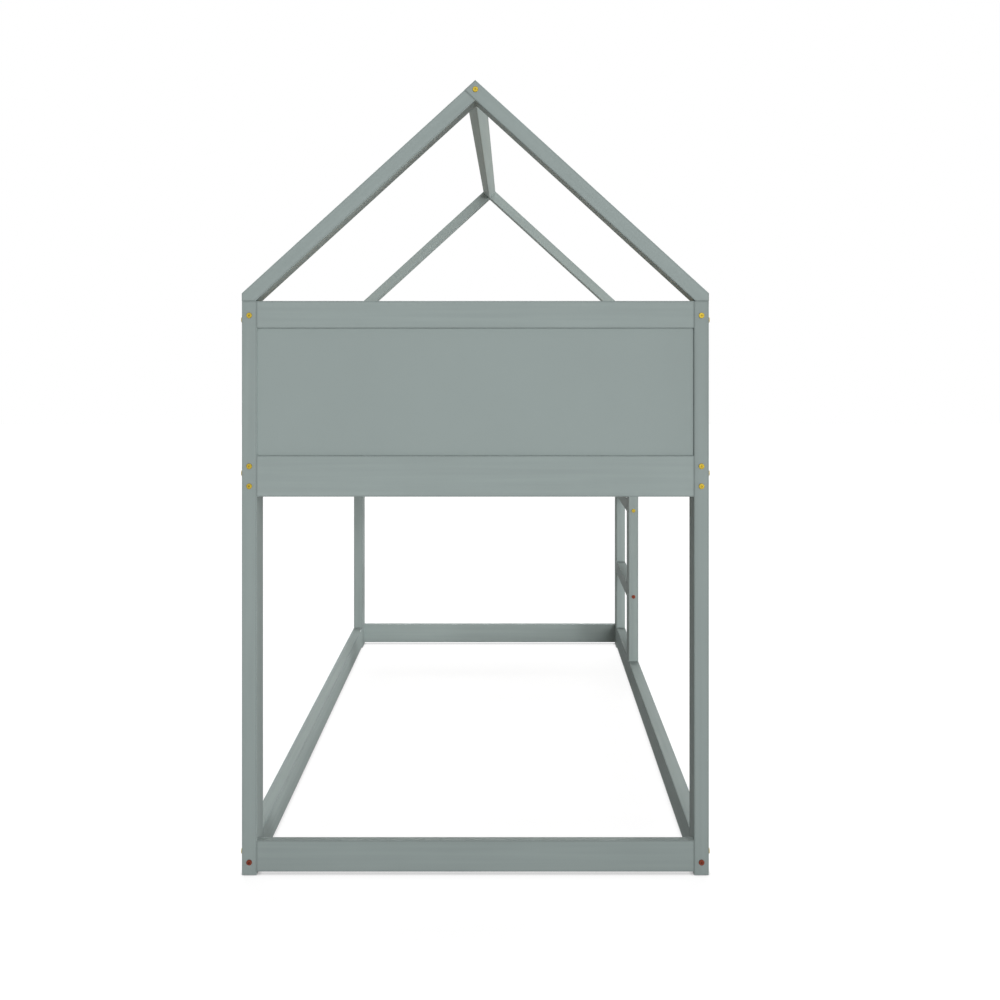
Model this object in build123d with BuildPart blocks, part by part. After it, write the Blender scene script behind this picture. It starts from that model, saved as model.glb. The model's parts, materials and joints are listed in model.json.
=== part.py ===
from build123d import *
import math
import os

# A low bunk bed with a house roof, in millimetres.
# X runs across the bed, Y along it from the front end to the rear end, Z is up.
# The origin is on the floor, at the middle of the bed. The ladder is on the right, at the rear.

# Overall sizes
outer_width = 1064.0
outer_length = 1985.0
post_height = 1308.0
apex_height = 1811.5
eave_height = 1326.0

# Timber sections
timber = 34.0
post_depth = 70.0
end_rail_thickness = 20.0
arris = 1.8
fine_arris = 1.2
seam_chamfer = 0.8

# Rails, from the floor up
floor_rail_bottom = 8.0
floor_rail_height = 71.0
bed_rail_bottom = 862.0
bed_rail_height = 93.5
guard_rail_height = 62.0

# Closed panel in each end
panel_thickness = 6.0
panel_tongue = 8.0
post_tongue = 6.0
groove_clearance = 0.4

# Bed slats and the ledgers they lie on
slat_count = 13
slat_width = 70.0
slat_thickness = 18.0
slat_end_gap = 2.0
ledger_side = 25.0
ledger_bottom = 893.0
ledger_end_gap = 2.5

# Upright guard slats, let into the rails above and below them
guard_slat_width = 60.0
guard_slat_thickness = 20.0
guard_slat_housing = 10.0
left_guard_slat_count = 12
right_guard_slat_count = 9

# Ladder
ladder_opening = 398.5
rung_height = 45.0
lower_rung_z = 316.0
upper_rung_z = 619.0
rung_bolt_drop = 10.0

# Bolts with their barrel nuts
bolt_radius = 3.0
bolt_hole_radius = 3.5
bolt_bore_margin = 2.0
head_radius = 6.5
head_height = 2.4
head_round = 1.0
hex_key = 4.0
socket_depth = 1.6
end_bolt_length = 70.0
side_bolt_length = 100.0
ridge_bolt_length = 110.0
nut_radius = 5.0
nut_inset = 8.0
side_nut_length = 14.0
end_nut_length = 12.0
nut_hole_margin = 0.5
nut_slot_width = 1.2
nut_slot_depth = 1.0

# Heights of the bolts along the bed, into the side rails
guard_bolt_z = 1275.0
bed_bolt_zs = [931.5, 886.0]
floor_bolt_z = 29.5

# Heights of the bolts across the bed, into the end rails
end_top_bolt_z = 1265.0
end_bed_bolt_z = 915.0
end_floor_bolt_z = 52.0

# How far the ridge bolts sit above the ridge beam's axis
ridge_bolt_rise = 2.5

# Dowels: each rail end has one beside its bolts, so that it can't turn
dowel_radius = 4.0
dowel_length = 30.0
dowel_chamfer = 1.0
end_dowel_in_post = 11.0
guard_dowel_z = 1257.0
bed_dowel_z = 908.0
floor_dowel_z = 56.0
end_top_dowel_z = 1289.0
end_bed_dowel_z = 893.0
end_floor_dowel_z = 27.0
dowel_pair_spacing = 36.0
rafter_dowel_length = 40.0
rafter_dowel_x = 519.0
ridge_dowel_radius = 3.0
ridge_dowel_length = 24.0
ridge_dowel_drop = 12.0

# Wood screws
screw_radius = 2.0
screw_head_radius = 4.0
screw_point = 4.0
screw_cone_angle = 90.0
slat_screw_length = 35.0
slat_screw_x = 485.5
ledger_screw_length = 50.0

# Places worked out from the sizes above
sides = {"left": -1, "right": 1}
ends = {"front": -1, "rear": 1}
inner_width = outer_width - 2 * timber
span_between_posts = outer_length - 2 * post_depth
deck_length = outer_length - 2 * end_rail_thickness
post_x = (outer_width - timber) / 2
post_y = (outer_length - post_depth) / 2
post_inner_y = span_between_posts / 2
end_rail_y = (outer_length - end_rail_thickness) / 2
floor_rail_top = floor_rail_bottom + floor_rail_height
bed_rail_top = bed_rail_bottom + bed_rail_height
guard_rail_bottom = post_height - guard_rail_height
ledger_top = ledger_bottom + ledger_side
slat_top = ledger_top + slat_thickness
slat_pitch = (deck_length - slat_count * slat_width) / (slat_count + 1) + slat_width
ledger_screw_z = ledger_bottom + ledger_side / 2
stile_rear_y = post_inner_y - ladder_opening
stile_front_y = stile_rear_y - post_depth
stile_y = (stile_front_y + stile_rear_y) / 2
rung_zs = [upper_rung_z, lower_rung_z]
end_nut_x = inner_width / 2 - (end_bolt_length - timber - nut_inset)
side_nut_y = side_bolt_length - post_depth - nut_inset
nut_depth = timber / 2 + side_nut_length / 2 + nut_hole_margin

# The roof slopes: the rafters' upper and lower faces, and where the two slopes cross
roof_slope = (apex_height - eave_height) / (outer_width / 2)
rafter_plumb_height = timber / math.cos(math.atan(roof_slope))
inner_apex_height = apex_height - rafter_plumb_height
lap_half_width = rafter_plumb_height / (2 * roof_slope)
lap_z = (apex_height + inner_apex_height) / 2
foot_x = (inner_apex_height - post_height) / roof_slope
ridge_z = apex_height - timber / math.sqrt(2)
ridge_bolt_z = ridge_z + ridge_bolt_rise

os.makedirs("parts", exist_ok=True)


def save(name, piece):
    piece.label = name
    export_step(piece, f"parts/{name}.step")


def facing(x, y, z, direction):
    """A plane at a point, whose normal is the way out of the wood there."""
    return Plane(origin=(x, y, z), z_dir=direction)


def is_ladder_corner(side, end):
    return side == sides["right"] and end == ends["rear"]


def guard_span(side):
    """Where a side's guard starts and stops along the bed, and how many slats it has."""
    if side == sides["right"]:
        return -post_inner_y, stile_front_y, right_guard_slat_count
    return -post_inner_y, post_inner_y, left_guard_slat_count


def guard_slat_spacing(side):
    start, stop, count = guard_span(side)
    gap = (stop - start - count * guard_slat_width) / (count + 1)
    return gap + guard_slat_width


# Corner posts

def post_side_joints(side, end):
    """Heights of the bolts and the dowels that join a post to what runs along the bed."""
    bolt_zs = [*bed_bolt_zs, floor_bolt_z]
    dowel_zs = [bed_dowel_z, floor_dowel_z]
    if is_ladder_corner(side, end):
        bolt_zs += [z - rung_bolt_drop for z in rung_zs]
        dowel_zs += [z + rung_bolt_drop for z in rung_zs]
    else:
        bolt_zs.append(guard_bolt_z)
        dowel_zs.append(guard_dowel_z)
    return bolt_zs, dowel_zs


def make_post(side, end):
    x = side * post_x
    inner_x = side * inner_width / 2
    bolt_zs, dowel_zs = post_side_joints(side, end)
    end_bolt_zs = [end_top_bolt_z, end_bed_bolt_z, end_floor_bolt_z]
    end_dowel_zs = [end_top_dowel_z, end_bed_dowel_z, end_floor_dowel_z]
    with BuildPart() as post:
        with Locations((x, end * post_y, post_height / 2)):
            Box(timber, post_depth, post_height)
        fillet(post.edges().filter_by(Axis.Z), arris)
        chamfer(post.edges().group_by(Axis.Z)[0], fine_arris)
        chamfer(post.edges().group_by(Axis.Z)[-1], seam_chamfer)
        # Bolts along the bed and across it
        with Locations(*[facing(x, end * outer_length / 2, z, (0, end, 0)) for z in bolt_zs]):
            Hole(bolt_hole_radius)
        with Locations(*[facing(x, end * end_rail_y, z, (side, 0, 0)) for z in end_bolt_zs]):
            Hole(bolt_hole_radius)
        # Dowels from the side rails, the end rails and the rafter's foot
        with Locations(*[facing(x, end * post_inner_y, z, (0, -end, 0)) for z in dowel_zs]):
            Hole(dowel_radius, dowel_length / 2)
        with Locations(*[facing(inner_x, end * end_rail_y, z, (-side, 0, 0)) for z in end_dowel_zs]):
            Hole(dowel_radius, end_dowel_in_post)
        with Locations(*rafter_dowel_sites(side, end, 1)):
            Hole(dowel_radius, rafter_dowel_length / 2)
        # Groove for the end panel
        panel_z = (bed_rail_top + guard_rail_bottom) / 2
        groove_height = guard_rail_bottom - bed_rail_top + 2 * panel_tongue
        with Locations((inner_x, end * end_rail_y, panel_z)):
            Box(
                2 * (post_tongue + groove_clearance),
                panel_thickness + groove_clearance,
                groove_height,
                mode=Mode.SUBTRACT,
            )
    return post.part


def rafter_dowel_sites(side, end, way):
    """The pair of dowels between a post's top (way up, 1) and a rafter's foot (way down, -1)."""
    x = side * rafter_dowel_x
    offsets = [-dowel_pair_spacing / 2, dowel_pair_spacing / 2]
    return [facing(x, end * post_y + offset, post_height, (0, 0, way)) for offset in offsets]


# End rails and end panels

def end_nut_way(end, bolt_z):
    """Which way an end rail's barrel nuts face: into the bed, but to the rear on both floor rails."""
    return ends["rear"] if bolt_z == end_floor_bolt_z else -end


def make_end_rail(end, bottom, height, bolt_z, dowel_z, groove_z=None):
    """A rail across one end. groove_z is the height of the edge that holds the panel, if any."""
    y = end * end_rail_y
    nut_way = end_nut_way(end, bolt_z)
    nut_face_y = y + nut_way * end_rail_thickness / 2
    bore_depth = end_bolt_length - timber + bolt_bore_margin
    nut_hole_depth = end_rail_thickness / 2 + end_nut_length / 2
    with BuildPart() as rail:
        with Locations((0, y, bottom + height / 2)):
            Box(inner_width, end_rail_thickness, height)
        fillet(rail.edges().filter_by(Axis.X), arris)
        with Locations(*[facing(s * inner_width / 2, y, bolt_z, (s, 0, 0)) for s in (-1, 1)]):
            Hole(bolt_hole_radius, bore_depth)
        with Locations(*[facing(s * inner_width / 2, y, dowel_z, (s, 0, 0)) for s in (-1, 1)]):
            Hole(dowel_radius, dowel_length - end_dowel_in_post)
        with Locations(*[facing(s * end_nut_x, nut_face_y, bolt_z, (0, nut_way, 0)) for s in (-1, 1)]):
            Hole(nut_radius, nut_hole_depth)
        if groove_z is not None:
            with Locations((0, y, groove_z)):
                Box(
                    inner_width,
                    panel_thickness + groove_clearance,
                    2 * (panel_tongue + groove_clearance),
                    mode=Mode.SUBTRACT,
                )
    return rail.part


def make_end_panel(end):
    panel_z = (bed_rail_top + guard_rail_bottom) / 2
    with BuildPart() as panel:
        with Locations((0, end * end_rail_y, panel_z)):
            Box(
                inner_width + 2 * post_tongue,
                panel_thickness,
                guard_rail_bottom - bed_rail_top + 2 * panel_tongue,
            )
    return panel.part


# Side rails

def drill_side_rail_ends(side, start, stop, bolt_zs, dowel_z):
    """Bolt bores, dowel holes and barrel nut holes at both ends of the rail being made."""
    x = side * post_x
    inner_x = side * inner_width / 2
    bore_depth = side_bolt_length - post_depth + bolt_bore_margin
    for y, way in ((start, -1), (stop, 1)):
        with Locations(*[facing(x, y, z, (0, way, 0)) for z in bolt_zs]):
            Hole(bolt_hole_radius, bore_depth)
        with Locations(facing(x, y, dowel_z, (0, way, 0))):
            Hole(dowel_radius, dowel_length / 2)
        nut_y = y - way * side_nut_y
        with Locations(*[facing(inner_x, nut_y, z, (-side, 0, 0)) for z in bolt_zs]):
            Hole(nut_radius, nut_depth)


def house_guard_slats(side, z):
    """Housings for the guard slats, cut both ways from height z in the rail being made."""
    start, stop, count = guard_span(side)
    with Locations((side * post_x, (start + stop) / 2, z)):
        with GridLocations(0, guard_slat_spacing(side), 1, count):
            Box(
                guard_slat_thickness,
                guard_slat_width,
                2 * guard_slat_housing,
                mode=Mode.SUBTRACT,
            )


def upright_dowel_sites(z, way):
    """The pair of dowels at the ladder stile's or the short post's end, at height z."""
    offsets = [-dowel_pair_spacing / 2, dowel_pair_spacing / 2]
    return [facing(post_x, stile_y + offset, z, (0, 0, way)) for offset in offsets]


def make_floor_rail(side):
    with BuildPart() as rail:
        with Locations((side * post_x, 0, floor_rail_bottom + floor_rail_height / 2)):
            Box(timber, span_between_posts, floor_rail_height)
        fillet(rail.edges().filter_by(Axis.Y), arris)
        drill_side_rail_ends(side, -post_inner_y, post_inner_y, [floor_bolt_z], floor_dowel_z)
        if side == sides["right"]:
            with Locations(*upright_dowel_sites(floor_rail_top, 1)):
                Hole(dowel_radius, dowel_length / 2)
    return rail.part


def make_bed_rail(side):
    inner_x = side * inner_width / 2
    with BuildPart() as rail:
        with Locations((side * post_x, 0, bed_rail_bottom + bed_rail_height / 2)):
            Box(timber, span_between_posts, bed_rail_height)
        fillet(rail.edges().filter_by(Axis.Y), arris)
        drill_side_rail_ends(side, -post_inner_y, post_inner_y, bed_bolt_zs, bed_dowel_z)
        house_guard_slats(side, bed_rail_top)
        # Pilot holes for the ledger's screws, one in each gap between bed slats
        with Locations(*[facing(inner_x, y, ledger_screw_z, (-side, 0, 0)) for y in ledger_screw_ys()]):
            Hole(screw_radius, ledger_screw_length - ledger_side)
        if side == sides["right"]:
            with Locations(*upright_dowel_sites(bed_rail_bottom, -1)):
                Hole(dowel_radius, dowel_length / 2)
            with Locations(*upright_dowel_sites(bed_rail_top, 1)):
                Hole(dowel_radius, dowel_length / 2)
    return rail.part


def make_guard_rail(side):
    start, stop, _ = guard_span(side)
    middle = (start + stop) / 2
    with BuildPart() as rail:
        with Locations((side * post_x, middle, guard_rail_bottom + guard_rail_height / 2)):
            Box(timber, stop - start, guard_rail_height)
        fillet(rail.edges().filter_by(Axis.Y), arris)
        drill_side_rail_ends(side, start, stop, [guard_bolt_z], guard_dowel_z)
        house_guard_slats(side, guard_rail_bottom)
    return rail.part


def make_guard_slats(side):
    start, stop, count = guard_span(side)
    slat_z = (bed_rail_top + guard_rail_bottom) / 2
    with BuildPart() as slats:
        with Locations((side * post_x, (start + stop) / 2, slat_z)):
            with GridLocations(0, guard_slat_spacing(side), 1, count):
                Box(
                    guard_slat_thickness,
                    guard_slat_width,
                    guard_rail_bottom - bed_rail_top + 2 * guard_slat_housing,
                )
        fillet(slats.edges().filter_by(Axis.Z), fine_arris)
    return slats.part


def make_guard_entry_post():
    """The short post that ends the right guard, where the ladder comes up."""
    with BuildPart() as post:
        with Locations((post_x, stile_y, (bed_rail_top + post_height) / 2)):
            Box(timber, post_depth, post_height - bed_rail_top)
        fillet(post.edges().filter_by(Axis.Z), arris)
        chamfer(post.edges().group_by(Axis.Z)[-1], fine_arris)
        with Locations(facing(post_x, stile_rear_y, guard_bolt_z, (0, 1, 0))):
            Hole(bolt_hole_radius)
        with Locations(facing(post_x, stile_front_y, guard_dowel_z, (0, -1, 0))):
            Hole(dowel_radius, dowel_length / 2)
        with Locations(*upright_dowel_sites(bed_rail_top, -1)):
            Hole(dowel_radius, dowel_length / 2)
    return post.part


# Bed slats and their ledgers

def slat_ys():
    middle = (slat_count - 1) / 2
    return [(i - middle) * slat_pitch for i in range(slat_count)]


def ledger_screw_ys():
    return [y + slat_pitch / 2 for y in slat_ys()[:-1]]


def make_ledger(side):
    x = side * (inner_width / 2 - ledger_side / 2)
    front_x = side * (inner_width / 2 - ledger_side)
    with BuildPart() as ledger:
        with Locations((x, 0, ledger_screw_z)):
            Box(ledger_side, deck_length - 2 * ledger_end_gap, ledger_side)
        fillet(ledger.edges().filter_by(Axis.Y), fine_arris)
        with Locations(*[facing(side * slat_screw_x, y, ledger_top, (0, 0, 1)) for y in slat_ys()]):
            Hole(screw_radius, slat_screw_length - slat_thickness)
        with Locations(*[facing(front_x, y, ledger_screw_z, (-side, 0, 0)) for y in ledger_screw_ys()]):
            CounterSinkHole(screw_radius, screw_head_radius, ledger_side, screw_cone_angle)
    return ledger.part


def make_bed_slat(y):
    with BuildPart() as slat:
        with Locations((0, y, ledger_top + slat_thickness / 2)):
            Box(inner_width - 2 * slat_end_gap, slat_width, slat_thickness)
        fillet(slat.edges().filter_by(Axis.X), arris)
        with Locations(*[facing(s * slat_screw_x, y, slat_top, (0, 0, 1)) for s in (-1, 1)]):
            CounterSinkHole(screw_radius, screw_head_radius, slat_thickness, screw_cone_angle)
    return slat.part


# Ladder

def make_ladder_stile():
    bolt_zs = [z - rung_bolt_drop for z in rung_zs]
    dowel_zs = [z + rung_bolt_drop for z in rung_zs]
    with BuildPart() as stile:
        with Locations((post_x, stile_y, (floor_rail_top + bed_rail_bottom) / 2)):
            Box(timber, post_depth, bed_rail_bottom - floor_rail_top)
        fillet(stile.edges().filter_by(Axis.Z), arris)
        with Locations(*[facing(post_x, stile_front_y, z, (0, -1, 0)) for z in bolt_zs]):
            Hole(bolt_hole_radius)
        with Locations(*[facing(post_x, stile_rear_y, z, (0, 1, 0)) for z in dowel_zs]):
            Hole(dowel_radius, dowel_length / 2)
        with Locations(*upright_dowel_sites(floor_rail_top, -1)):
            Hole(dowel_radius, dowel_length / 2)
        with Locations(*upright_dowel_sites(bed_rail_bottom, 1)):
            Hole(dowel_radius, dowel_length / 2)
    return stile.part


def make_rung(rung_z):
    bolt_z = rung_z - rung_bolt_drop
    dowel_z = rung_z + rung_bolt_drop
    with BuildPart() as rung:
        with Locations((post_x, (stile_rear_y + post_inner_y) / 2, rung_z)):
            Box(timber, ladder_opening, rung_height)
        fillet(rung.edges().filter_by(Axis.Y), arris)
        drill_side_rail_ends(sides["right"], stile_rear_y, post_inner_y, [bolt_z], dowel_z)
    return rung.part


# Roof

def make_rafter(side):
    """A front rafter. The right one keeps the outer half of the lap, the left one the inner half."""
    slope_axis = Axis((0, 0, 0), (side * outer_width / 2, 0, eave_height - apex_height))
    lap_in_front = side == sides["right"]
    lap_cut_start = post_inner_y if lap_in_front else post_inner_y + post_depth / 2
    with BuildPart() as rafter:
        with BuildSketch(Plane.XZ.offset(post_inner_y)):
            with BuildLine():
                Polyline(
                    (side * foot_x, post_height),
                    (side * outer_width / 2, post_height),
                    (side * outer_width / 2, eave_height),
                    (0, apex_height),
                    (-side * lap_half_width, lap_z),
                    close=True,
                )
            make_face()
        extrude(amount=post_depth)
        fillet(rafter.edges().filter_by(slope_axis), arris)
        # Half of the lap at the apex goes to the other rafter
        with BuildSketch(Plane.XZ.offset(lap_cut_start)):
            with BuildLine():
                Polyline(
                    (0, apex_height),
                    (lap_half_width, lap_z),
                    (0, inner_apex_height),
                    (-lap_half_width, lap_z),
                    close=True,
                )
            make_face()
        extrude(amount=post_depth / 2, mode=Mode.SUBTRACT)
        with Locations(facing(0, -outer_length / 2, ridge_bolt_z, (0, -1, 0))):
            Hole(bolt_hole_radius)
        with Locations(facing(0, -post_inner_y, ridge_z - ridge_dowel_drop, (0, 1, 0))):
            Hole(ridge_dowel_radius, ridge_dowel_length / 2)
        with Locations(*rafter_dowel_sites(side, ends["front"], -1)):
            Hole(dowel_radius, rafter_dowel_length / 2)
    return rafter.part


def ridge_nut_plane(end):
    """The barrel nut's centre in the ridge. Its hole opens on the upper left face."""
    y = end * (post_inner_y - (ridge_bolt_length - post_depth - nut_inset))
    return Plane(origin=(0, y, ridge_bolt_z), x_dir=(0, 1, 0), z_dir=(-1, 0, 1))


def make_ridge_beam():
    bore_depth = ridge_bolt_length - post_depth + bolt_bore_margin
    nut_centre_depth = timber / 2 - ridge_bolt_rise / math.sqrt(2)
    with BuildPart() as ridge:
        with BuildSketch(Plane.XZ.offset(-post_inner_y)):
            with Locations((0, ridge_z)):
                Rectangle(timber, timber, rotation=45)
        extrude(amount=span_between_posts)
        fillet(ridge.edges().filter_by(Axis.Y), arris)
        for end in ends.values():
            with Locations(facing(0, end * post_inner_y, ridge_bolt_z, (0, end, 0))):
                Hole(bolt_hole_radius, bore_depth)
            with Locations(facing(0, end * post_inner_y, ridge_z - ridge_dowel_drop, (0, end, 0))):
                Hole(ridge_dowel_radius, ridge_dowel_length / 2)
            with Locations(ridge_nut_plane(end).offset(nut_centre_depth)):
                Hole(nut_radius, nut_depth)
    return ridge.part


# Fasteners

def make_bolt(length):
    """A bolt that stands in its hole: z = 0 is the wood's face, under the flat round head."""
    with BuildPart() as bolt:
        Cylinder(head_radius, head_height, align=(Align.CENTER, Align.CENTER, Align.MIN))
        fillet(bolt.edges().group_by(Axis.Z)[-1], head_round)
        with BuildSketch(Plane.XY.offset(head_height)):
            RegularPolygon(hex_key / 2, 6, major_radius=False)
        extrude(amount=-socket_depth, mode=Mode.SUBTRACT)
        Cylinder(bolt_radius, length, align=(Align.CENTER, Align.CENTER, Align.MAX))
    return bolt.part


def make_barrel_nut(length):
    """A barrel nut across a bolt that runs along X. Its driver slot is at the +Z end."""
    with BuildPart() as nut:
        Cylinder(nut_radius, length)
        with Locations(Plane.YZ):
            Hole(bolt_radius)
        with Locations((0, 0, length / 2)):
            Box(2 * nut_radius, nut_slot_width, 2 * nut_slot_depth, mode=Mode.SUBTRACT)
    return nut.part


def make_dowel(radius, length):
    with BuildPart() as dowel:
        Cylinder(radius, length)
        chamfer(dowel.edges().filter_by(GeomType.CIRCLE), dowel_chamfer)
    return dowel.part


def make_screw(length):
    """A countersunk wood screw: z = 0 is the top of its head."""
    cone_height = screw_head_radius - screw_radius
    with BuildPart() as screw:
        with BuildSketch(Plane.XZ):
            with BuildLine():
                Polyline(
                    (0, 0),
                    (screw_head_radius, 0),
                    (screw_radius, -cone_height),
                    (screw_radius, screw_point - length),
                    (0, -length),
                    close=True,
                )
            make_face()
        revolve(axis=Axis.Z)
    return screw.part


def save_group(name, piece, sites):
    """Write copies of one small piece, one at each site, as a single node."""
    with BuildPart() as group:
        with Locations(*sites):
            add(piece)
    save(name, group.part)


def end_bolt_sites():
    zs = [end_top_bolt_z, end_bed_bolt_z, end_floor_bolt_z]
    return [
        facing(side * outer_width / 2, end * end_rail_y, z, (side, 0, 0))
        for side in sides.values()
        for end in ends.values()
        for z in zs
    ]


def end_nut_sites():
    zs = [end_top_bolt_z, end_bed_bolt_z, end_floor_bolt_z]
    return [
        Plane(
            origin=(side * end_nut_x, end * end_rail_y, z),
            x_dir=(1, 0, 0),
            z_dir=(0, end_nut_way(end, z), 0),
        )
        for side in sides.values()
        for end in ends.values()
        for z in zs
    ]


def post_bolt_sites(zs):
    """Bolts through all four posts, along the bed."""
    return [
        facing(side * post_x, end * outer_length / 2, z, (0, end, 0))
        for side in sides.values()
        for end in ends.values()
        for z in zs
    ]


def guard_bolt_sites():
    """Bolts into the guard rails: three through corner posts, one through the short post."""
    sites = [
        facing(side * post_x, end * outer_length / 2, guard_bolt_z, (0, end, 0))
        for side in sides.values()
        for end in ends.values()
        if not is_ladder_corner(side, end)
    ]
    return sites + [facing(post_x, stile_rear_y, guard_bolt_z, (0, 1, 0))]


def rung_bolt_sites(rung_z):
    bolt_z = rung_z - rung_bolt_drop
    return [
        facing(post_x, stile_front_y, bolt_z, (0, -1, 0)),
        facing(post_x, outer_length / 2, bolt_z, (0, 1, 0)),
    ]


def side_nut_sites():
    """One barrel nut for each bolt along the bed, a bolt's length in from its head."""
    bolt_sites = post_bolt_sites([*bed_bolt_zs, floor_bolt_z]) + guard_bolt_sites()
    for rung_z in rung_zs:
        bolt_sites += rung_bolt_sites(rung_z)
    sites = []
    for site in bolt_sites:
        head = site.origin
        side = math.copysign(1, head.X)
        nut_y = head.Y - site.z_dir.Y * (side_bolt_length - nut_inset)
        sites.append(Plane(origin=(head.X, nut_y, head.Z), x_dir=(0, 1, 0), z_dir=(-side, 0, 0)))
    return sites


def frame_dowel_sites():
    """The middle of every dowel of the common size."""
    sites = []
    end_dowel_x = inner_width / 2 + end_dowel_in_post - dowel_length / 2
    for side in sides.values():
        for end in ends.values():
            for z in (end_top_dowel_z, end_bed_dowel_z, end_floor_dowel_z):
                sites.append(facing(side * end_dowel_x, end * end_rail_y, z, (side, 0, 0)))
            for z in post_side_joints(side, end)[1]:
                sites.append(facing(side * post_x, end * post_inner_y, z, (0, end, 0)))
    for rung_z in rung_zs:
        sites.append(facing(post_x, stile_rear_y, rung_z + rung_bolt_drop, (0, 1, 0)))
    sites.append(facing(post_x, stile_front_y, guard_dowel_z, (0, 1, 0)))
    for z in (floor_rail_top, bed_rail_bottom, bed_rail_top):
        sites += upright_dowel_sites(z, 1)
    return sites


def save_fasteners():
    side_bolt = make_bolt(side_bolt_length)
    save_group("end_rail_bolts", make_bolt(end_bolt_length), end_bolt_sites())
    save_group("side_rail_bolts", side_bolt, post_bolt_sites(bed_bolt_zs) + guard_bolt_sites())
    save_group("floor_rail_bolts", side_bolt, post_bolt_sites([floor_bolt_z]))
    save_group("upper_rung_bolts", side_bolt, rung_bolt_sites(upper_rung_z))
    save_group("lower_rung_bolts", side_bolt, rung_bolt_sites(lower_rung_z))
    ridge_bolt_sites = [
        facing(0, end * outer_length / 2, ridge_bolt_z, (0, end, 0)) for end in ends.values()
    ]
    save_group("ridge_bolts", make_bolt(ridge_bolt_length), ridge_bolt_sites)

    save_group("end_rail_barrel_nuts", make_barrel_nut(end_nut_length), end_nut_sites())
    side_nut = make_barrel_nut(side_nut_length)
    save_group("side_rail_barrel_nuts", side_nut, side_nut_sites())
    save_group("ridge_barrel_nuts", side_nut, [ridge_nut_plane(end) for end in ends.values()])

    save_group("frame_dowels", make_dowel(dowel_radius, dowel_length), frame_dowel_sites())
    foot_sites = [
        site for side in sides.values() for end in ends.values() for site in rafter_dowel_sites(side, end, 1)
    ]
    save_group("rafter_dowels", make_dowel(dowel_radius, rafter_dowel_length), foot_sites)
    ridge_dowel_z = ridge_z - ridge_dowel_drop
    ridge_dowel_sites = [facing(0, end * post_inner_y, ridge_dowel_z, (0, end, 0)) for end in ends.values()]
    save_group("ridge_dowels", make_dowel(ridge_dowel_radius, ridge_dowel_length), ridge_dowel_sites)

    slat_screw_sites = [
        facing(side * slat_screw_x, y, slat_top, (0, 0, 1)) for side in sides.values() for y in slat_ys()
    ]
    save_group("slat_screws", make_screw(slat_screw_length), slat_screw_sites)
    ledger_face_x = inner_width / 2 - ledger_side
    ledger_screw_sites = [
        facing(side * ledger_face_x, y, ledger_screw_z, (-side, 0, 0))
        for side in sides.values()
        for y in ledger_screw_ys()
    ]
    save_group("ledger_screws", make_screw(ledger_screw_length), ledger_screw_sites)


# The whole bed

for end_name, end in ends.items():
    for side_name, side in sides.items():
        save(f"{end_name}_{side_name}_post", make_post(side, end))
    top_rail = make_end_rail(
        end, guard_rail_bottom, guard_rail_height, end_top_bolt_z, end_top_dowel_z, guard_rail_bottom
    )
    save(f"{end_name}_top_rail", top_rail)
    bed_rail = make_end_rail(
        end, bed_rail_bottom, bed_rail_height, end_bed_bolt_z, end_bed_dowel_z, bed_rail_top
    )
    save(f"{end_name}_bed_rail", bed_rail)
    floor_rail = make_end_rail(
        end, floor_rail_bottom, floor_rail_height, end_floor_bolt_z, end_floor_dowel_z
    )
    save(f"{end_name}_floor_rail", floor_rail)
    save(f"{end_name}_panel", make_end_panel(end))

for side_name, side in sides.items():
    save(f"{side_name}_floor_rail", make_floor_rail(side))
    save(f"{side_name}_bed_rail", make_bed_rail(side))
    save(f"{side_name}_guard_rail", make_guard_rail(side))
    save(f"{side_name}_guard_slats", make_guard_slats(side))
    save(f"{side_name}_slat_ledger", make_ledger(side))
save("guard_entry_post", make_guard_entry_post())

for number, y in enumerate(slat_ys(), start=1):
    save(f"bed_slat_{number:02d}", make_bed_slat(y))

save("ladder_stile", make_ladder_stile())
save("ladder_rung_upper", make_rung(upper_rung_z))
save("ladder_rung_lower", make_rung(lower_rung_z))

# The rear pair of rafters is the front pair turned half round, so left and right change over
left_rafter = make_rafter(sides["left"])
right_rafter = make_rafter(sides["right"])
save("rear_right_rafter", left_rafter.rotate(Axis.Z, 180))
save("rear_left_rafter", right_rafter.rotate(Axis.Z, 180))
save("front_left_rafter", left_rafter)
save("front_right_rafter", right_rafter)
save("ridge_beam", make_ridge_beam())

save_fasteners()
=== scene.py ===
import json
import math

import bpy
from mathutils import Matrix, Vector


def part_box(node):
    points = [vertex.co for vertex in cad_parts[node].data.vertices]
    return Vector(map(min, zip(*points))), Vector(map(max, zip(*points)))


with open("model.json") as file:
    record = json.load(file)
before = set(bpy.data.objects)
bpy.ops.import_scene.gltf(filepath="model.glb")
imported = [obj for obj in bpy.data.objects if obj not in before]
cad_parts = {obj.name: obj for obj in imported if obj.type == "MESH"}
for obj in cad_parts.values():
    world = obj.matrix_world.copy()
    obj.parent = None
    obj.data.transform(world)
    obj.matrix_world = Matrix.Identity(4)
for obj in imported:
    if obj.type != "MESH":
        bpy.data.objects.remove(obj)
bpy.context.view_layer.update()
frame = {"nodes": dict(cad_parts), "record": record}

# A low bunk bed with a house roof. Everything is in metres, in the frame's own axes:
# X across the bed, Y along it from the front end to the rear end, Z up.

nodes = frame["nodes"]
record = frame["record"]

# The photograph's view: from the front end, level, with the vanishing point off the centre
image_size = 1000
vanishing_point_x = 509
vanishing_point_y = 333
camera_place = (0.0766, -3.640, 1.235)
sensor_width = 36.0
focal_length_px = 1162.6

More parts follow.
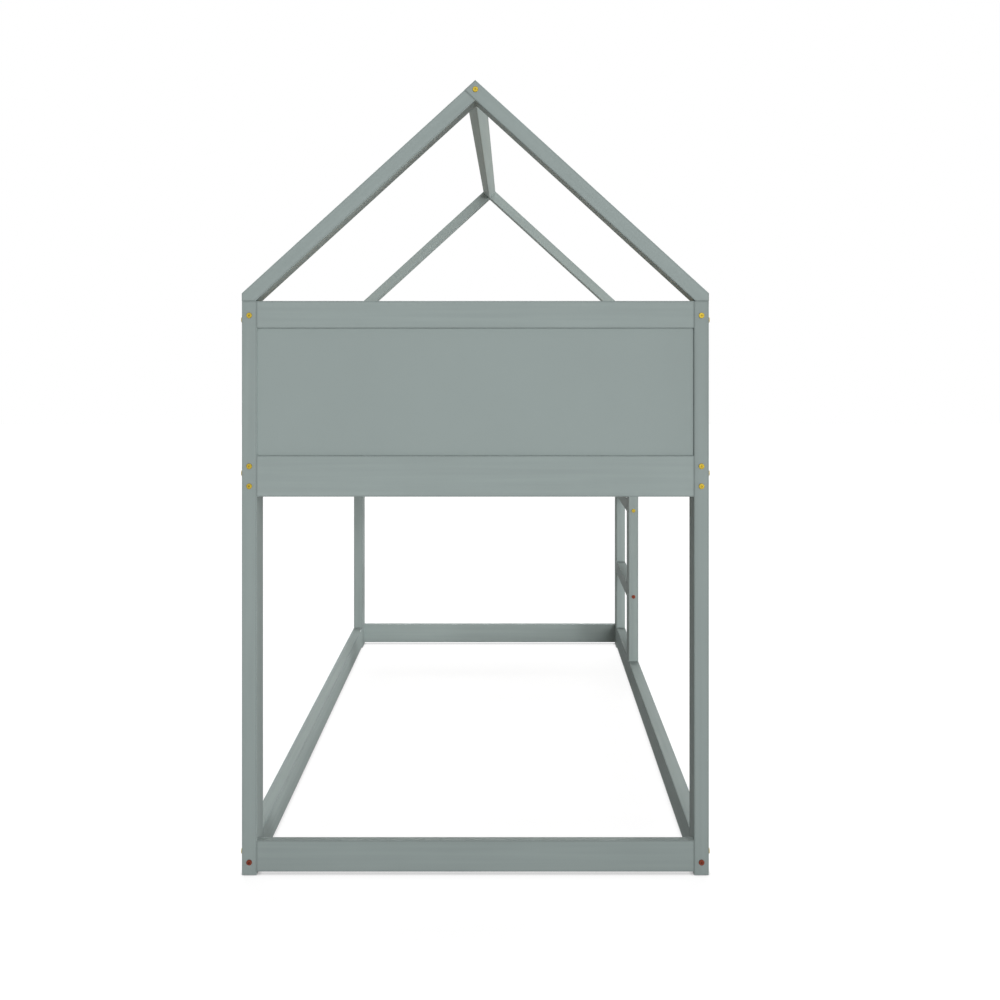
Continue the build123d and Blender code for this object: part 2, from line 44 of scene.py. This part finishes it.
# Paint, wood and plating colours, as they look on screen
paint_colour = (147, 158, 156)
pine_light = (226, 203, 168)
pine_dark = (194, 158, 113)
beech_light = (206, 170, 124)
beech_dark = (175, 145, 105)
yellow_zinc = (145, 126, 46)
red_bronze = (103, 52, 40)
bright_zinc = (160, 162, 166)

# The paint's low gloss, on timber and panels alike
paint_specular = 0.15
paint_roughness = (0.64, 0.74)

# Painted light and shade: a lighter or darker copy of the paint on the pieces that are lit differently
# from the rest
painted_light_tones = {
    "front_left_post": 0.94,
    "front_right_post": 0.92,
    "front_floor_rail": 0.94,
    "rear_left_post": 0.9,
    "ladder_stile": 0.93,
    "guard_entry_post": 0.98,
    "ridge_beam": 1.2,
}

# How far a pattern is drawn out along the grain, and how far apart two pieces' patterns lie
grain_squeeze = 0.03
seed_range = 40.0

# The upright cut at a rafter's foot, above the top of its post
plumb_cut = 0.018

# Light from all round, and how much of the light the floor gives back and shows
world_strength = 0.22
floor_bounce = (0.34, 0.34, 0.34, 1.0)
floor_shadow_tone = (0.14, 0.14, 0.14, 1.0)
floor_half_width = 12.0
white = (1.0, 1.0, 1.0, 1.0)


def linear(value):
    """A screen value from 0 to 255 as the linear level that Blender's sockets hold."""
    level = value / 255
    return level / 12.92 if level <= 0.04045 else ((level + 0.055) / 1.055) ** 2.4


def shaded(rgb, factor=1.0):
    """A screen colour for a socket, lighter or darker by the factor."""
    return tuple(min(1.0, linear(value) * factor) for value in rgb) + (1.0,)


# Node trees

class Tree:
    """The nodes of a material or world, with short ways to add them and join them."""

    def __init__(self, owner):
        owner.use_nodes = True
        self.owner = owner
        self.nodes = owner.node_tree.nodes
        self.links = owner.node_tree.links

    def add(self, kind, inputs=None, **settings):
        node = self.nodes.new("ShaderNode" + kind)
        for key, value in settings.items():
            setattr(node, key, value)
        for key, value in (inputs or {}).items():
            self.set(node, key, value)
        return node

    def set(self, node, key, value):
        """Joins another node to the socket, or sets the socket's own value."""
        socket = node.inputs[key]
        if isinstance(value, bpy.types.NodeSocket):
            self.links.new(value, socket)
        else:
            socket.default_value = value

    def set_surface(self, key, value):
        self.set(self.nodes["Principled BSDF"], key, value)

    def set_relief(self, height, strength, depth):
        """Fine relief on the surface, up to the given depth."""
        bump = self.add("Bump", {"Height": height, "Strength": strength, "Distance": depth})
        self.set_surface("Normal", bump.outputs[0])

    def math(self, operation, a, b=0.5):
        return self.add("Math", {0: a, 1: b}, operation=operation).outputs[0]

    def noise(self, coordinates, scale, detail=2.0, roughness=0.5, seed=None):
        inputs = {"Vector": coordinates, "Scale": scale, "Detail": detail, "Roughness": roughness}
        if seed is None:
            return self.add("TexNoise", inputs).outputs["Fac"]
        inputs["W"] = seed
        return self.add("TexNoise", inputs, noise_dimensions="4D").outputs["Fac"]

    def spread(self, value, low, high, out_low=0.0, out_high=1.0):
        inputs = {
            "Value": value,
            "From Min": low,
            "From Max": high,
            "To Min": out_low,
            "To Max": out_high,
        }
        return self.add("MapRange", inputs).outputs["Result"]

    def contrast(self, noise, out_low=0.0, out_high=1.0):
        """A noise's middle range, where most of its values lie, spread over the given one."""
        return self.spread(noise, 0.3, 0.7, out_low, out_high)

    def mix(self, factor, a, b):
        node = self.add("Mix", data_type="RGBA", blend_type="MIX")
        self.set(node, 0, factor)
        self.set(node, 6, a)
        self.set(node, 7, b)
        return node.outputs[2]

    def vary(self, factor, rgb, swing, tone=1.0):
        """A colour in its tone that goes from darker to lighter with the factor."""
        return self.mix(factor, shaded(rgb, (1 - swing) * tone), shaded(rgb, (1 + swing) * tone))


def new_material(name):
    return Tree(bpy.data.materials.new(name))


def object_space(tree):
    return tree.add("TexCoord").outputs["Object"]


def along_grain(tree, axis, pitch=0.0):
    """Object coordinates squeezed along the piece, so that a noise in them runs with its grain."""
    turned = tree.add("Mapping", {"Vector": object_space(tree), "Rotation": (0.0, pitch, 0.0)})
    squeeze = [grain_squeeze if way == axis else 1.0 for way in "xyz"]
    return tree.add("Mapping", {"Vector": turned.outputs[0], "Scale": squeeze}).outputs[0]


def piece_seed(tree):
    """A different number for each piece, so that no two carry the same grain."""
    return tree.math("MULTIPLY", tree.add("ObjectInfo").outputs["Random"], seed_range)


def openness(tree, reach=0.008):
    """1 on open faces, and less the deeper a point lies in a seam or corner."""
    return tree.add("AmbientOcclusion", {"Distance": reach}, samples=8).outputs["AO"]


def arris_shade_line(tree):
    """1 just inside a piece's rounded edges, where a painted shade line darkens them, else 0."""
    bent = tree.add("Bevel", {"Radius": 0.005}, samples=8)
    straight = tree.add("NewGeometry").outputs["Normal"]
    match = tree.add("VectorMath", {0: bent.outputs[0], 1: straight}, operation="DOT_PRODUCT")
    return tree.spread(match.outputs["Value"], 0.999, 0.97)


def seen_directly(tree):
    """1 where the eye, a reflection or a view through glass meets it, 0 where only light does."""
    path = tree.add("LightPath")
    seen = tree.math("MAXIMUM", path.outputs["Is Camera Ray"], path.outputs["Is Glossy Ray"])
    return tree.math("MAXIMUM", seen, path.outputs["Is Transmission Ray"])


# Materials

def painted_wood(name, axis, pitch, tone):
    """Paint over planed pine: grain and brush show faintly, with painted shade along the edges and in the
    seams, and a lighter or darker tone as painted light.
    """
    tree = new_material(name)
    seed = piece_seed(tree)
    grain_space = along_grain(tree, axis, pitch)
    grain = tree.noise(grain_space, scale=90.0, detail=1.0, seed=seed)
    brush = tree.noise(grain_space, scale=300.0, detail=1.0, seed=seed)
    cloud = tree.noise(object_space(tree), scale=4.0, detail=3.0, roughness=0.55, seed=seed)

    streaky = tree.vary(tree.contrast(grain), paint_colour, 0.07, tone)
    cloudy = tree.vary(tree.contrast(cloud), paint_colour, 0.04, tone)
    colour = tree.mix(0.5, streaky, cloudy)
    open_sky = openness(tree)
    # Painted shade: a darker line just inside the rounded edges that stand in the open.
    edge_shade = tree.math("MULTIPLY", arris_shade_line(tree), tree.spread(open_sky, 0.82, 0.98))
    colour = tree.mix(edge_shade, colour, shaded(paint_colour, 0.74 * tone))
    # Painted shade in the seams, deeper the further in.
    colour = painted_seam_shade(tree, colour, open_sky, 0.1, tone)
    tree.set_surface("Base Color", colour)

    tree.set_surface("Roughness", tree.contrast(brush, *paint_roughness))
    tree.set_surface("Specular IOR Level", paint_specular)
    relief = tree.math("ADD", tree.math("MULTIPLY", grain, 0.8), tree.math("MULTIPLY", brush, 0.2))
    tree.set_relief(relief, strength=0.25, depth=0.0002)
    return tree.owner


def painted_seam_shade(tree, colour, open_sky, strength, tone=1.0):
    """The paint's colour with painted shade, deeper the further a point lies into a seam."""
    depth = tree.spread(open_sky, 0.7, 0.1, 0.0, strength)
    return tree.mix(depth, colour, shaded(paint_colour, 0.5 * tone))


def painted_panel(name):
    """The same paint rolled on a flat board: no grain, a fine stipple, and painted shade in its seams."""
    tree = new_material(name)
    seed = piece_seed(tree)
    cloud = tree.noise(object_space(tree), scale=3.0, detail=4.0, roughness=0.6, seed=seed)
    stipple = tree.noise(object_space(tree), scale=700.0, seed=seed)
    colour = tree.vary(tree.spread(cloud, 0.25, 0.75), paint_colour, 0.02)
    # Painted shade in the seams around the panel.
    colour = painted_seam_shade(tree, colour, openness(tree), 0.2)
    tree.set_surface("Base Color", colour)
    tree.set_surface("Roughness", tree.contrast(stipple, *paint_roughness))
    tree.set_surface("Specular IOR Level", paint_specular)
    tree.set_relief(stipple, strength=0.2, depth=0.0002)
    return tree.owner


def bare_wood(name, axis, light, dark):
    """Planed, unpainted wood with growth rings, fine pores and a few darker patches."""
    tree = new_material(name)
    seed = piece_seed(tree)
    grain_space = along_grain(tree, axis)
    swirl = tree.noise(grain_space, scale=14.0, seed=seed)
    rings = tree.noise(grain_space, scale=75.0, seed=seed)
    pores = tree.noise(grain_space, scale=900.0, roughness=0.6, seed=seed)

    ring_turns = 42.0
    ring_lines = tree.math("SINE", tree.math("MULTIPLY", tree.math("ADD", rings, swirl), ring_turns))
    ring_lines = tree.spread(ring_lines, -1.0, 1.0)
    colour = tree.mix(tree.math("MULTIPLY", ring_lines, 0.45), shaded(light), shaded(dark))
    patches = tree.spread(swirl, 0.35, 0.75, 0.0, 0.35)
    colour = tree.mix(patches, colour, shaded(dark, 1.1))
    open_pores = tree.spread(pores, 0.35, 0.5, 0.25, 0.0)
    colour = tree.mix(open_pores, colour, shaded(dark, 0.8))
    tree.set_surface("Base Color", colour)

    tree.set_surface("Roughness", tree.contrast(pores, 0.62, 0.74))
    relief = tree.math("ADD", tree.math("MULTIPLY", ring_lines, 0.5), pores)
    tree.set_relief(relief, strength=0.3, depth=0.0004)
    return tree.owner


def plated_steel(name, rgb, roughness):
    """Plated fasteners: cloudy plating, with painted shade in the hollows."""
    tree = new_material(name)
    cloud = tree.noise(object_space(tree), scale=260.0, detail=3.0, roughness=0.6)
    speck = tree.noise(object_space(tree), scale=1400.0)
    colour = tree.vary(tree.contrast(cloud), rgb, 0.14)
    # Painted shade: the plating darkens in the hollows.
    hollow_shade = tree.spread(openness(tree, reach=0.005), 0.8, 0.2, 0.0, 0.8)
    colour = tree.mix(hollow_shade, colour, shaded(rgb, 0.3))
    tree.set_surface("Base Color", colour)
    tree.set_surface("Metallic", 1.0)
    tree.set_surface("Roughness", tree.contrast(speck, *roughness))
    tree.set_relief(speck, strength=0.15, depth=0.0001)
    return tree.owner


# Pieces

def dress_nodes():
    """Gives each piece the material of its slot, with the grain of timber along the piece."""
    by_slot = {
        "painted_panel": painted_panel("paint_panel"),
        "beech_dowel": bare_wood("beech", "y", beech_light, beech_dark),
        "yellow_bolt": plated_steel("yellow_zinc", yellow_zinc, (0.5, 0.6)),
        "bronze_bolt": plated_steel("red_bronze", red_bronze, (0.5, 0.6)),
        "zinc_steel": plated_steel("bright_zinc", bright_zinc, (0.28, 0.4)),
    }
    pine_by_axis = {
        "x": bare_wood("pine_across", "x", pine_light, pine_dark),
        "y": bare_wood("pine_along", "y", pine_light, pine_dark),
    }
    paints = {}
    slots = {row["node"]: row["material_slot"] for row in record["subparts"]}
    for name, node in nodes.items():
        slot = slots[name]
        if slot == "painted_wood":
            material = paint_for(name, paints)
        elif slot == "bare_pine":
            material = pine_by_axis[longest_axis(name)]
        else:
            material = by_slot[slot]
        node.data.materials.clear()
        node.data.materials.append(material)


def paint_for(name, paints):
    """The paint whose grain runs along this piece, in its tone of painted light and shade, made once for
    each kind.
    """
    kind = (grain_axis(name), grain_pitch(name), painted_light_tones.get(name, 1.0))
    if kind not in paints:
        paints[kind] = painted_wood(f"paint_{len(paints) + 1}", *kind)
    return paints[kind]


def grain_axis(name):
    """The axis that the grain runs along, or would if a rafter lay level."""
    if name.endswith("_rafter"):
        return "x"
    return "z" if name.endswith("_guard_slats") else longest_axis(name)


def grain_pitch(name):
    """The roof's slope on a rafter, and none on a level or upright piece."""
    if not name.endswith("_rafter"):
        return 0.0
    return -roof_slope() if "right" in name.split("_") else roof_slope()


def longest_axis(name):
    low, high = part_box(name)
    sizes = high - low
    return "xyz"[max(range(3), key=lambda i: sizes[i])]


def roof_slope():
    """The slope of the rafters, from the box of one of them."""
    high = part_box("front_right_rafter")[1]
    post_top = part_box("front_right_post")[1]
    return math.atan2(high.z - post_top.z - plumb_cut, high.x)


# Stage, light and camera

def make_floor():
    """A pale floor that is plain white to the eye, apart from the soft shadow on it: lamp shadow, and a
    painted contact shadow where pieces stand close.
    """
    half = floor_half_width
    mesh = bpy.data.meshes.new("floor")
    corners = [(-half, -half, 0), (half, -half, 0), (half, half, 0), (-half, half, 0)]
    mesh.from_pydata(corners, [], [(0, 1, 2, 3)])
    floor = bpy.data.objects.new("floor", mesh)
    bpy.context.scene.collection.objects.link(floor)

    tree = new_material("floor")
    tree.nodes.remove(tree.nodes["Principled BSDF"])
    shadow_catcher = tree.add("BsdfDiffuse", {"Color": floor_shadow_tone})
    # Painted shadow: the floor's glow dims where pieces stand close to it.
    painted_contact_shadow = tree.spread(openness(tree, reach=0.011), 0.2, 0.85, 0.3, 0.92)
    glow = tree.add("Emission", {"Color": white, "Strength": painted_contact_shadow})
    shown = tree.add("AddShader", {0: shadow_catcher.outputs[0], 1: glow.outputs[0]})
    unseen = tree.add("BsdfDiffuse", {"Color": floor_bounce})
    mixed = tree.add("MixShader", {0: seen_directly(tree), 1: unseen.outputs[0], 2: shown.outputs[0]})
    tree.set(tree.nodes["Material Output"], "Surface", mixed.outputs[0])
    mesh.materials.append(tree.owner)


def make_world():
    """Soft light from all round, and a white background where the eye or a reflection meets it."""
    world = bpy.data.worlds.new("studio")
    bpy.context.scene.world = world
    tree = Tree(world)
    background = tree.nodes["Background"]
    tree.set(background, "Color", white)
    tree.set(background, "Strength", tree.spread(seen_directly(tree), 0.0, 1.0, world_strength, 1.0))


def add_lamp(name, light):
    lamp = bpy.data.objects.new(name, light)
    bpy.context.scene.collection.objects.link(lamp)
    return lamp


def make_sun(name, azimuth, elevation, strength, softness):
    """A wide soft light from the given side. Azimuth 0 shines along +Y, 90 along -X."""
    light = bpy.data.lights.new(name, "SUN")
    light.energy = strength
    light.angle = math.radians(softness)
    lamp = add_lamp(name, light)
    lamp.rotation_euler = (math.radians(90 - elevation), 0.0, math.radians(azimuth))
    return lamp


def make_softbox(name, place, target, width, power):
    """A square lamp on a stand, aimed at a point and out of the camera's sight."""
    light = bpy.data.lights.new(name, "AREA")
    light.size = width
    light.energy = power
    lamp = add_lamp(name, light)
    lamp.location = place
    lamp.rotation_euler = (Vector(target) - Vector(place)).to_track_quat("-Z", "Y").to_euler()
    lamp.visible_camera = False


def light_left_side(lamp):
    """Lets the lamp reach the left side's pieces alone: the bed's inside is in shade, as photographed."""
    left_side = bpy.data.collections.new("left_side")
    for name, node in nodes.items():
        if "left" in name.split("_"):
            left_side.objects.link(node)
    lamp.light_linking.receiver_collection = left_side


def make_lights():
    make_sun("front", azimuth=9, elevation=7, strength=2.08, softness=20)
    make_sun("top", azimuth=180, elevation=75, strength=2.5, softness=20)
    make_sun("rear", azimuth=180, elevation=4, strength=1.3, softness=10)
    make_softbox("right", place=(12.0, -1.5, 1.2), target=(0.0, 0.0, 1.0), width=2.0, power=800.0)
    light_left_side(make_sun("left", azimuth=-90, elevation=8, strength=1.9, softness=4))


def make_camera():
    data = bpy.data.cameras.new("camera")
    data.sensor_width = sensor_width
    data.lens = focal_length_px * sensor_width / image_size
    data.shift_x = (image_size / 2 - vanishing_point_x) / image_size
    data.shift_y = (vanishing_point_y - image_size / 2) / image_size
    camera = bpy.data.objects.new("camera", data)
    bpy.context.scene.collection.objects.link(camera)
    camera.location = camera_place
    camera.rotation_euler = (math.radians(90), 0.0, 0.0)
    bpy.context.scene.camera = camera


make_camera()
make_world()
make_lights()
make_floor()
dress_nodes()
bpy.context.scene.view_settings.view_transform = "Standard"
